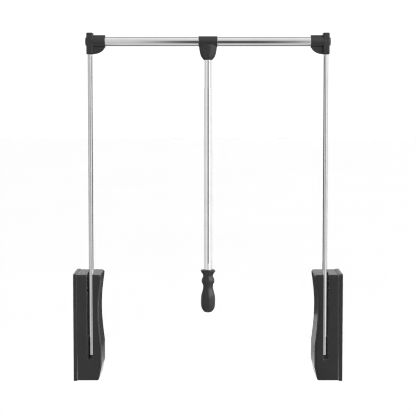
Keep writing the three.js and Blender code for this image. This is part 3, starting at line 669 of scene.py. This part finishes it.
def edge_lines(low, high, radius):
    """Grid lines across a box: close together over its round edges, and one just inside each flat."""
    a, b, hold = low + radius, high - radius, radius / 5
    return lines_between(
        (low, a, BOX_STEPS),
        (a, a + hold, 1),
        (a + hold, b - hold, 4),
        (b - hold, b, 1),
        (b, high, BOX_STEPS),
    )


def swept_band(path, inward, width, thickness, edge):
    """A bar with a rounded rectangular section carried along a path in the front view: the section spans the
    depth on one axis and runs inward from the path on the other. Its ends are closed."""
    section = rounded_section(width, thickness, edge)
    centre = path[:, None, :] + inward[:, None, :] * section[None, :, 1:2]
    depth = np.broadcast_to(section[None, :, 0], centre.shape[:2])
    rings = np.stack([centre[..., 0], ARM_DEPTH + depth, centre[..., 1]], -1)
    return loft(rings, rings[0].mean(axis=0), rings[-1].mean(axis=0))


def rounded_section(width, thickness, edge):
    """Outline of a rounded rectangle: depth from -width/2 to width/2, and from 0 inwards to the thickness."""
    corners = [
        (width / 2 - edge, edge, -90),
        (width / 2 - edge, thickness - edge, 0),
        (-width / 2 + edge, thickness - edge, 90),
        (-width / 2 + edge, edge, 180),
    ]
    points = []
    for x, y, start in corners:
        angle = np.radians(start + np.linspace(0, 90, SOFT))
        points.append(np.stack([x + edge * np.cos(angle), y + edge * np.sin(angle)], -1))
    return np.concatenate(points)


def ellipse_path(centre, wide, high):
    """Quarter of an ellipse from straight below the centre to its right, and its unit normals, which point
    inwards: the place is centre + (wide cos, high sin), and the normal runs against (cos / wide,
    sin / high)."""
    angle = np.linspace(-np.pi / 2, 0, GUSSET_POINTS)
    path = np.stack([centre[0] + wide * np.cos(angle), centre[1] + high * np.sin(angle)], -1)
    normal = np.stack([np.cos(angle) / wide, np.sin(angle) / high], -1)
    normal /= np.linalg.norm(normal, axis=1, keepdims=True)
    return path, -normal


def gusset(flank):
    """The band and the web below the sleeve, from the block's flank. The web is a fan of lines from its
    root."""
    wide, drop, inset = GUSSET["across"], GUSSET["drop"], GUSSET["web_inset"]
    centre = (flank, RAIL_HEIGHT - GUSSET["centre_drop"])
    path, inward = ellipse_path(centre, wide, drop)
    start = [flank - GUSSET["lead_in"], centre[1] - drop]
    end = [flank + wide, RAIL_HEIGHT - GUSSET["end_drop"]]
    path = np.vstack([start, path, end])
    inward = np.vstack([inward[:1], inward, inward[-1:]])
    band = swept_band(path, inward, GUSSET["width"], GUSSET["thickness"], GUSSET["edge"])
    rim = ellipse_path(centre, wide - inset, drop - inset)[0]
    root = np.array([flank - GUSSET["web_root"], RAIL_HEIGHT])
    fan = root + (rim - root) * np.linspace(0, 1, WEB_ROWS)[:, None, None]
    front, rear = (np.insert(fan, Y, ARM_DEPTH + GUSSET[k], axis=-1) for k in ("web_front", "web_back"))
    return band, grid_form(np.concatenate([front, rear[::-1]]))


def corner_connector(side):
    """A soft block, a turned sleeve with the rail's bore, and the gusset."""
    inner, outer = ARM_INSET + CORNER["width"] / 2, ARM_INSET - CORNER["width"] / 2
    half = CORNER["depth"] / 2
    low = (outer, ARM_DEPTH - half, CORNER["foot"])
    high = (inner, ARM_DEPTH + half, CORNER["top"])
    radius, bore, end = CORNER["sleeve"], CORNER["bore"], CORNER["sleeve_end"]
    floor = end - CORNER["bore_depth"]
    outline = [[0, ARM_INSET], [radius, ARM_INSET], [radius, end], [bore, end], [bore, floor], [0, floor]]
    sleeve = turned(fillet(outline, CORNER["sleeve_edge"]))
    points, faces = merge(soft_box(low, high, CORNER["edge"]), sleeve, *gusset(inner))
    return piece(f"{side}_corner_connector", *on_side(points, faces, side))


# Corner cap: [radius, rise] of its crowned face, its rim, and the spigot behind its seat.
CAP = {
    "crown": [[0, 0.25], [5, 0.15], [9.4, 0]],
    "radius": 10.5,
    "bevel": 1,
    "thickness": 2.7,
    "gap": 0.3,
    "spigot": 7,
    "spigot_length": 1.2,
    "edge": 0.8,
}


def corner_cap(side):
    """A shallow domed disc: its profile goes from the crowned face over the rim to the spigot."""
    seat = ARM_INSET - CORNER["width"] / 2 - CAP["gap"]
    face = seat - CAP["thickness"]
    radius, spigot, tip = CAP["radius"], CAP["spigot"], seat + CAP["spigot_length"]
    crown = [[at, face - rise] for at, rise in CAP["crown"]]
    rim = [[radius, face + CAP["bevel"]], [radius, seat], [spigot, seat], [spigot, tip], [0, tip]]
    points, faces = turned(fillet(crown + rim, CAP["edge"]))
    return piece(f"{side}_corner_cap", *on_side(points, faces, side))


# T connector: its sleeve on the rail, and its socket for the pull rod.
TEE = {
    "half": 22.9,
    "sleeve": 12.8,
    "sleeve_bore": 10.3,
    "edge": 0.5,
    "drop": 45,
    "bore": 9.3,
    "bore_depth": 25.8,
}
TEE_LEVELS = np.array(
    [
        # drop below the rail, half width, half depth
        [45, 10.4, 10.2],
        [44.2, 11.3, 10.6],
        [42.7, 12.3, 10.8],
        [40.5, 14.0, 11.0],
        [37.8, 16.1, 11.2],
        [35.1, 17.4, 11.3],
        [30.1, 19.1, 11.3],
        [22.8, 20.6, 11.3],
        [15.4, 21.6, 11.3],
        [9, 22.2, 11.2],
        [4, 22.3, 10.6],
        [0, 22.3, 8],
    ]
)
TEE_POWERS = {0: 2.2, 30: 2.1, 45: 2.0}  # how square the socket is, by the drop
TEE_RINGS = [(45, 36, 16), (35, 0, 28)]  # its rings: from one drop to another, and how many


def tee_connector():
    """The sleeve is turned about the rail. The socket is a loft of soft rectangles, |x/a|^n + |y/b|^n = 1,
    whose half width a and half depth b follow smooth curves of the drop below the rail."""
    sleeve = turned(tube_profile(TEE["sleeve"], TEE["sleeve_bore"], -TEE["half"], TEE["half"], TEE["edge"]))
    drop = np.concatenate([np.linspace(*run) for run in TEE_RINGS])
    known = TEE_LEVELS[::-1]
    a, b = (smooth_curve(drop, known[:, 0], known[:, k])[:, None] for k in (1, 2))
    power = 2 / np.interp(drop, list(TEE_POWERS), list(TEE_POWERS.values()))[:, None]
    angle = np.linspace(0, 2 * np.pi, ROUND, endpoint=False)
    c, s = np.cos(angle), np.sin(angle)
    x = a * np.sign(c) * np.abs(c) ** power
    y = b * np.sign(s) * np.abs(s) ** power
    z = np.repeat((RAIL_HEIGHT - drop)[:, None], ROUND, axis=1)
    foot = RAIL_HEIGHT - TEE["drop"]
    bore = [
        np.stack([TEE["bore"] * c, ARM_DEPTH + TEE["bore"] * s, np.full(ROUND, height)], -1)
        for height in (foot + TEE["bore_depth"], foot)
    ]
    rings = np.concatenate([bore, np.stack([x, ARM_DEPTH + y, z], -1)])
    socket = loft(rings, (0, ARM_DEPTH, foot + TEE["bore_depth"]), (0, ARM_DEPTH, RAIL_HEIGHT))
    return piece("t_connector", *merge(sleeve, socket), sharp=42)


# Grip: [share of the radius, share of the length] of its outline, from its foot up.
GRIP_SHARES = np.array(
    [
        [0.27, 0],
        [0.53, 0.016],
        [0.665, 0.04],
        [0.8, 0.07],
        [0.9, 0.107],
        [0.965, 0.153],
        [0.992, 0.2],
        [0.998, 0.268],
        [0.985, 0.34],
        [0.94, 0.407],
        [0.87, 0.453],
        [0.79, 0.5],
        [0.722, 0.546],
        [0.69, 0.602],
        [0.745, 0.66],
        [0.88, 0.707],
        [0.895, 0.755],
        [0.82, 0.8],
        [0.73, 0.826],
        [0.7, 0.87],
        [0.84, 0.916],
        [0.95, 0.94],
        [1.02, 0.968],
        [1, 0.985],
        [0.74, 1],
    ]
)
GRIP = {
    "foot": 163.1,
    "length": 106.5,
    "radius": 17.6,
    "bore": 10.3,
    "bore_foot": 171.7,
    "hole": 4.4,
    "hole_top": 168.1,
    "rings": 110,
    "end_share": 0.006,
}


def grip_handle():
    """A turned outline, smoothed between its known points, with the tube's bore and the screw's hole."""
    foot, top, bore, hole = GRIP["foot"], GRIP["foot"] + GRIP["length"], GRIP["bore"], GRIP["hole"]
    up = np.concatenate([[0], np.linspace(GRIP["end_share"], 1 - GRIP["end_share"], GRIP["rings"]), [1]])
    share = smooth_curve(up, GRIP_SHARES[:, 1], GRIP_SHARES[:, 0])
    outside = np.stack([share * GRIP["radius"], foot + GRIP["length"] * up], -1)
    inside = [[bore, top], [bore, GRIP["bore_foot"]], [hole, GRIP["hole_top"]], [hole, foot]]
    profile = np.vstack([[hole, foot], outside[1:], inside])
    return piece("grip", *turned(profile, upright_at=0), sharp=45)


# Springs: a wire carried along a hook, a coil and a hook, between a low pin and a high one.
SPRING = {
    "inset": 21,
    "low": (-10, 98),
    "high": (20, 236),
    "low_pin": 2.5,
    "high_pin": 3,
    "play": 0.3,
    "coil": 5.8,
    "wire": 1.6,
    "wire_sides": 10,
    "end": 13,
    "pitch": 5.6,
    "hook_turn": 1.25 * np.pi,
    "turn_points": 20,
}


def spring_path():
    """Points round the low pin, on a helix along the line between the pins, and round the high pin."""
    low, high = np.array(SPRING["low"], float), np.array(SPRING["high"], float)
    length = np.linalg.norm(high - low)
    along = (high - low) / length
    behind = np.array([along[1], -along[0]])

    def put(s, n, x):
        flat = low + np.outer(s, along) + np.outer(n, behind)
        return np.column_stack([SPRING["inset"] + x, flat])

    angle = np.linspace(0, SPRING["hook_turn"], SPRING["turn_points"])
    outside = SPRING["play"] + SPRING["wire"]
    low_radius, high_radius = SPRING["low_pin"] + outside, SPRING["high_pin"] + outside
    hook_low = put(-low_radius * np.sin(angle), low_radius * np.cos(angle), 0 * angle)[::-1]
    hook_high = put(length + high_radius * np.sin(angle), high_radius * np.cos(angle), 0 * angle)
    turns = round((length - 2 * SPRING["end"]) / SPRING["pitch"])
    phase = np.linspace(0, 2 * np.pi * turns, turns * SPRING["turn_points"] + 1)
    s = np.linspace(SPRING["end"], length - SPRING["end"], len(phase))
    coil = put(s, SPRING["coil"] * np.cos(phase), SPRING["coil"] * np.sin(phase))
    return np.vstack([hook_low, coil, hook_high])


def wire_along(path, radius, sides):
    """A round wire: at each point a ring across the path's direction, turned on without twist by projecting
    the last ring's frame. Its ends are closed in a point. The path starts square to the x axis."""
    ahead = np.gradient(path, axis=0)
    ahead /= np.linalg.norm(ahead, axis=1, keepdims=True)
    frames = [np.cross(ahead[0], [1, 0, 0])]
    for direction in ahead[1:]:
        turned_on = frames[-1] - direction * (frames[-1] @ direction)
        frames.append(turned_on / np.linalg.norm(turned_on))
    first = np.array(frames) / np.linalg.norm(frames, axis=1, keepdims=True)
    second = np.cross(ahead, first)
    angle = np.linspace(0, 2 * np.pi, sides, endpoint=False)[None, :, None]
    rings = path[:, None] + radius * np.cos(angle) * first[:, None] + radius * np.sin(angle) * second[:, None]
    return loft(rings, path[0], path[-1])


def spring_piece(side):
    points, faces = wire_along(spring_path(), SPRING["wire"], SPRING["wire_sides"])
    mesh_piece = piece(f"{side}_spring", *on_side(points, faces, side))
    # It bends between two bodies, so it rides on neither.
    mesh_piece.parent = None
    del mesh_piece["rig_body"]
    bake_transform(mesh_piece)
    return mesh_piece


# The cap in an arm's foot.
FOOT_CAP = {"foot": 42.8, "radius": 6, "seat": 57, "spigot": 4.5, "spigot_length": 6, "edge": 1.2}


def arm_foot_cap(side):
    """A turned cap with a soft end, and a spigot in the arm's bore."""
    foot, radius, seat, spigot = (FOOT_CAP[k] for k in ("foot", "radius", "seat", "spigot"))
    tip = seat + FOOT_CAP["spigot_length"]
    outline = [[0, foot], [radius, foot], [radius, seat], [spigot, seat], [spigot, tip], [0, tip]]
    form = turned(fillet(outline, FOOT_CAP["edge"]), upright_at=across(side, ARM_INSET))
    return piece(f"{side}_arm_foot_cap", *form)


# Tubes: radius, bore and ends. The ends are heights, or insets from the wall for the rail's halves.
TUBES = {
    "arm_tube": (6, 4.8, 57.3, 843),
    "rail_tube": (11.5, 10.3, 49.25, 305.3),
    "upper_rod_tube": (9, 7.8, 325, 810.7),
    "lower_rod_tube": (10.1, 9.3, 172, 715.7),
}
INNER_RAIL = {"radius": 10, "bore": 7.5, "half": 155, "groove": 9, "groove_half": 3, "seam": 8.5, "edge": 0.3}


def rail_tube(side):
    radius, bore, *insets = TUBES["rail_tube"]
    ends = sorted(across(side, inset) for inset in insets)
    return tube(f"{side}_rail_tube", radius, bore, *ends)


def inner_rail():
    """A thick tube with a round groove at its middle."""
    radius, bore, half = INNER_RAIL["radius"], INNER_RAIL["bore"], INNER_RAIL["half"]
    groove, groove_half, seam = INNER_RAIL["groove"], INNER_RAIL["groove_half"], [INNER_RAIL["seam"], -half]
    lower = [[radius, -half], [radius, -groove_half], [groove, -groove_half]]
    upper = [[groove, groove_half], [radius, groove_half], [radius, half]]
    outline = [seam, *lower, *upper, [bore, half], [bore, -half], seam]
    return piece("rail_inner_tube", *turned(fillet(outline, INNER_RAIL["edge"])))


def dress_frame():
    """Gives every CAD node that still shows its own finish. The polished arms don't mirror the wall units."""
    for name, made in frame["nodes"].items():
        made.data.materials.clear()
        made.data.materials.append(material_of(name))
        if plain_name(name) in ("bracket", "wall_plate"):
            made.visible_glossy = False


# Studio: a pale floor far below, black flags that only reflections see, a soft panel and a sky.


def flat_sheet(name, points, shader_values):
    """A rectangle from its four corners in metres, outside the object."""
    mesh = bpy.data.meshes.new(name)
    mesh.from_pydata(points, [], [(0, 1, 2, 3)])
    sheet = bpy.data.objects.new(name, mesh)
    bpy.context.scene.collection.objects.link(sheet)
    material, tree = empty_material(name)
    shader = shade(tree, shader_values)
    mesh.materials.append(material)
    return sheet, tree, shader


def studio_floor():
    """A wide flat sheet, well below the foot of the wall units."""
    size, height = 60, -1.1
    corners = [(-size, -size, height), (size, -size, height), (size, size, height), (-size, size, height)]
    floor, tree, shader = flat_sheet("floor", corners, [("Roughness", 0.9)])
    place = node(tree, "ShaderNodeTexCoord").outputs["Object"]
    cloud = noise(tree, place, scale=0.4, detail=2)
    tree.links.new(ramp(tree, cloud, [(0, 0.93), (1, 0.96)]), shader.inputs["Base Color"])
    floor.visible_glossy = False
    floor.visible_diffuse = False


def black_flag(name, points, fades=None):
    """A black card that only reflections show. Fades say, by axis, how dense it is at places along it."""
    flag, tree, shader = flat_sheet(name, points, [("Base Color", grey(0)), ("Specular IOR Level", 0)])
    flag.visible_camera = False
    flag.visible_diffuse = False
    flag.visible_shadow = False
    dense = 1.0
    for axis, stops in (fades or {}).items():
        place = node(tree, "ShaderNodeTexCoord").outputs["Object"]
        along = node(tree, "ShaderNodeSeparateXYZ", [("Vector", place)]).outputs[axis]
        low, high = ends(stops)
        share = math_node(tree, "MULTIPLY_ADD", along, 1 / (high - low), -low / (high - low))
        thin = ramp(tree, share, [((at - low) / (high - low), value) for at, value in stops])
        dense = math_node(tree, "MULTIPLY", thin, dense)
        tree.links.new(dense, shader.inputs["Alpha"])


def ends(stops):
    """The places of the first and the last stop."""
    return stops[0][0], stops[-1][0]


def front_card(xs, y, zs):
    """Corners of an upright card that faces the front, between two places across and two heights."""
    return [(xs[0], y, zs[0]), (xs[1], y, zs[0]), (xs[1], y, zs[1]), (xs[0], y, zs[1])]


def side_card(x, ys, zs):
    """Corners of an upright card that faces the side, between two depths and two heights."""
    return [(x, ys[0], zs[0]), (x, ys[1], zs[0]), (x, ys[1], zs[1]), (x, ys[0], zs[1])]


# The flags' places, in metres.
ARM_FLAG = {"x": 0.255, "ys": (-0.022, 0.002), "zs": (0.265, 0.795)}
SLOT_FLAG = {"ys": (-0.0148, 0.004), "zs": (0.054, 0.27)}
ROD_FLAG = {"xs": (-0.0087, 0.015), "y": -0.06, "zs": (0.28, 0.785)}
FLANK_FLAG = {"xs": (0.05, 0.246), "y": 0.2}
FRONT_FLAG_DEPTH = -2.0
# How dense the flags behind the right flank and far in front are, by height and by place across.
FLANK_FLAG_UP = [(0.125, 0.85), (0.26, 0.85)]
FRONT_FLAG_UP = [(-2.6, 0), (-0.47, 0.95), (0.92, 0.95), (1.84, 0)]
FRONT_FLAG_ACROSS = [
    (-0.36, 0),
    (-0.286, 0.05),
    (-0.254, 0.17),
    (-0.19, 0.5),
    (-0.127, 0.79),
    (-0.06, 0.92),
    (0.206, 0.9),
    (0.302, 0.72),
    (0.333, 0.63),
    (0.397, 0.35),
    (0.445, 0.1),
    (0.52, 0),
]


def studio_flags():
    """Narrow cards beside the arms, in the slots and before the rod, one behind the right flank and one far
    in front."""
    for side, sign in SIDES.items():
        black_flag(f"flag_{side}", side_card(sign * ARM_FLAG["x"], ARM_FLAG["ys"], ARM_FLAG["zs"]))
        slot = across(side, COVER["slot"][0]) * MM
        black_flag(f"flag_slot_{side}", side_card(slot, SLOT_FLAG["ys"], SLOT_FLAG["zs"]))
    black_flag("flag_rod", front_card(**ROD_FLAG))
    black_flag("flag_flank", front_card(**FLANK_FLAG, zs=ends(FLANK_FLAG_UP)), {"Z": FLANK_FLAG_UP})
    front = front_card(ends(FRONT_FLAG_ACROSS), FRONT_FLAG_DEPTH, ends(FRONT_FLAG_UP))
    black_flag("flag_front", front, {"X": FRONT_FLAG_ACROSS, "Z": FRONT_FLAG_UP})


def soft_panel(name, place, target, width, height, power):
    """A rectangular area light that faces a target."""
    data = bpy.data.lights.new(name, "AREA")
    data.shape = "RECTANGLE"
    data.size, data.size_y, data.energy = width, height, power
    light = bpy.data.objects.new(name, data)
    bpy.context.scene.collection.objects.link(light)
    light.location = place
    away = np.array(target, float) - np.array(place, float)
    light.rotation_euler = (
        math.atan2(math.hypot(away[X], away[Y]), -away[Z]),
        0,
        math.atan2(away[Y], away[X]) - math.pi / 2,
    )
    light.visible_camera = False
    light.visible_glossy = False


# What polished metal sees round it, as brightness by bearing from the front, in degrees to the right.
SKY_BEARINGS = [
    (-180, 0.9),
    (-150, 0.7),
    (-120, 0.68),
    (-95, 0.7),
    (-75, 0.72),
    (-43, 0.8),
    (-12, 0.85),
    (-6, 0.62),
    (6, 0.62),
    (11, 1.0),
    (25, 1.15),
    (50, 1.08),
    (75, 1.0),
    (95, 0.9),
    (125, 1.0),
    (180, 1.0),
]
# The same by pitch, from the front over the top to the back, for what looks up or down.
SKY_PITCHES = [
    (-180, 0.15),
    (-122, 0.16),
    (-82, 0.67),
    (-52, 0.56),
    (-25, 0.56),
    (0, 0.65),
    (24, 0.64),
    (50, 0.72),
    (79, 0.86),
    (100, 0.6),
    (112, 0.3),
    (125, 0.35),
    (140, 0.9),
    (180, 1.0),
]
# Straight behind, by the rise of the line of sight.
SKY_BEHIND = [
    (-0.3, 0.1),
    (-0.27, 1.2),
    (-0.2, 1.2),
    (-0.188, 0.05),
    (0.09, 0.05),
    (0.11, 0.8),
    (0.3, 0.8),
]
# The soft light that falls on the plastic, by bearing: strong from the right, weak from the left.
SOFT_LIGHT = [
    (-180, 0.5),
    (-100, 0.3),
    (-20, 0.25),
    (25, 1.0),
    (50, 2.6),
    (115, 2.6),
    (150, 1.0),
    (180, 0.5),
]
# Where the sky by bearing gives way to the sky by pitch, by how steep the line of sight is.
STEEP = [(0.15, 0.0), (0.45, 1.0)]
# How far round and how far up or down the sky straight behind is seen, and where it is even on its left.
BEHIND_ROUND = [(0.85, 0.0), (0.95, 1.0)]
BEHIND_HEIGHT = [(0.27, 1.0), (0.33, 0.0)]
BEHIND_LEFT = [(-0.15, 1.0), (-0.11, 0.0)]
LEFT_VALUE = 0.9
# The soft box above the level, to the right: where it is by bearing and by rise.
BOX_BEARINGS = [(-180, 0), (12, 0), (20, 1), (95, 1), (110, 0), (180, 0)]
BOX_RISE = [(0.07, 0.0), (0.14, 1.0), (0.75, 1.0), (0.85, 0.0)]
BOX_LIGHT = 3.0
SKY_TOP = 1.25  # brightest value that the sky's ramps hold
SOFT_TOP = 3.0  # the same for the soft light
CAMERA_WHITE = 1.05


def studio_sky():
    """The camera sees plain white. Reflections see the sky by bearing near the level, and by pitch above and
    below it. Soft light comes from a sky of its own."""
    world = bpy.data.worlds.new("studio")
    bpy.context.scene.world = world
    world.use_nodes = True
    tree = world.node_tree
    tree.nodes.clear()
    direction = node(tree, "ShaderNodeTexCoord").outputs["Generated"]
    axes = node(tree, "ShaderNodeSeparateXYZ", [("Vector", direction)]).outputs

    def by_angle(value, stops, top):
        """A ramp over the angle from the front towards an axis, from -180 to 180 degrees, with top as 1."""
        angle = math_node(tree, "ARCTAN2", value, math_node(tree, "MULTIPLY", axes["Y"], -1))
        share = math_node(tree, "MULTIPLY_ADD", angle, 0.5 / math.pi, 0.5)
        return ramp(tree, share, [((a + 180) / 360, v / top) for a, v in stops])

    def by_place(value, stops, top):
        """A ramp over places from -0.5 to 0.5, with top as 1."""
        return ramp(tree, math_node(tree, "ADD", value, 0.5), [(at + 0.5, v / top) for at, v in stops])

    def background(colour, strength):
        return node(tree, "ShaderNodeBackground", [("Color", colour), ("Strength", strength)]).outputs[0]

    def mixed(share, first, second):
        return node(tree, "ShaderNodeMixShader", [(0, share), (1, first), (2, second)]).outputs[0]

    height = math_node(tree, "ABSOLUTE", axes["Z"])
    bearings = by_angle(axes["X"], SKY_BEARINGS, SKY_TOP)
    pitches = by_angle(axes["Z"], SKY_PITCHES, SKY_TOP)
    round_about = blend(tree, ramp(tree, height, STEEP), bearings, pitches)
    left = by_place(axes["X"], BEHIND_LEFT, 1)
    backdrop = blend(tree, left, by_place(axes["Z"], SKY_BEHIND, SKY_TOP), grey(LEFT_VALUE / SKY_TOP))
    near, low = ramp(tree, axes["Y"], BEHIND_ROUND), ramp(tree, height, BEHIND_HEIGHT)
    behind = math_node(tree, "MULTIPLY", near, low)
    seen = blend(tree, behind, round_about, backdrop)
    box = math_node(tree, "MULTIPLY", by_angle(axes["X"], BOX_BEARINGS, 1), ramp(tree, axes["Z"], BOX_RISE))
    glossy = mixed(box, background(seen, SKY_TOP), background(grey(1), BOX_LIGHT))
    soft = background(by_angle(axes["X"], SOFT_LIGHT, SOFT_TOP), SOFT_TOP)
    path = node(tree, "ShaderNodeLightPath").outputs
    lit = mixed(path["Is Glossy Ray"], soft, glossy)
    shown = mixed(path["Is Camera Ray"], lit, background(grey(1), CAMERA_WHITE))
    output = node(tree, "ShaderNodeOutputWorld")
    tree.links.new(shown, output.inputs["Surface"])
    world.cycles.sampling_method = "NONE"


def make_studio():
    studio_floor()
    studio_flags()
    studio_sky()
    soft_panel("panel_top", place=(0.2, -0.4, 3.0), target=(0, 0, 0.4), width=2.4, height=2.0, power=14)
    bpy.context.scene.view_settings.view_transform = "Standard"
    bpy.context.scene.cycles.filter_width = 1.1


def make_pieces():
    for side in SIDES:
        tube(f"{side}_arm_tube", *TUBES["arm_tube"], upright_at=across(side, ARM_INSET))
        rail_tube(side)
        arm_foot_cap(side)
        cover_shell(side)
        corner_connector(side)
        corner_cap(side)
        spring_piece(side)
    inner_rail()
    tee_connector()
    for name in ("upper_rod_tube", "lower_rod_tube"):
        tube(name, *TUBES[name], upright_at=0)
    grip_handle()


make_camera()
make_pieces()
dress_frame()
make_studio()
